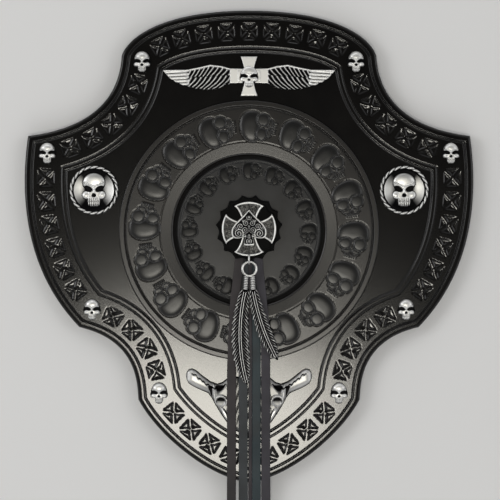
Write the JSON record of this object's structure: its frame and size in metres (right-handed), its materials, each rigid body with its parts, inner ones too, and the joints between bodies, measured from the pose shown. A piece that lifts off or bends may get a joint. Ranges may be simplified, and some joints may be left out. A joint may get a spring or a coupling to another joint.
{
  "type": "leather shield",
  "caption": "Decorative leather shield with a carved cross border, a roundel of tooled skulls, cast silver ornaments and hanging straps and feathers.",
  "frame": {"origin": "on the flat back face, under the middle of the boss", "axes": "+Z out of the front face, +Y towards the shield's top edge, +X to the right seen from the front; the shield lies on its back"},
  "size_m": [0.3236, 0.4129, 0.0273],
  "materials": {
    "body_leather": "black, burnished to a satin gloss",
    "ring_leather": "dark brown black, satin",
    "disc_leather": "charcoal, satin",
    "rosette_leather": "black, matte",
    "strap_brown": "brown charcoal suede",
    "strap_charcoal": "charcoal suede",
    "strap_aubergine": "dark aubergine, smooth",
    "strap_teal": "dark teal, smooth",
    "strap_grey": "purple grey suede",
    "antique_silver": "cast, antiqued and polished on the high places"
  },
  "bodies": {
    "root": {"shield_body": "body_leather", "skull_ring": "ring_leather", "centre_disc": "disc_leather", "rosette": "rosette_leather", "cross_concho": "antique_silver", "feather_long": "antique_silver", "feather_short": "antique_silver", "strap_a": "strap_brown", "strap_b": "strap_charcoal", "strap_c": "strap_aubergine", "strap_d": "strap_teal", "strap_e": "strap_grey", "winged_cross": "antique_silver", "steer_skull": "antique_silver", "round_concho_left": "antique_silver", "round_concho_right": "antique_silver", "stud_foot_right": "antique_silver", "stud_flank_right": "antique_silver", "stud_shoulder_right": "antique_silver", "stud_neck_right": "antique_silver", "stud_neck_left": "antique_silver", "stud_shoulder_left": "antique_silver", "stud_flank_left": "antique_silver", "stud_foot_left": "antique_silver"}
  },
  "joints": []
}
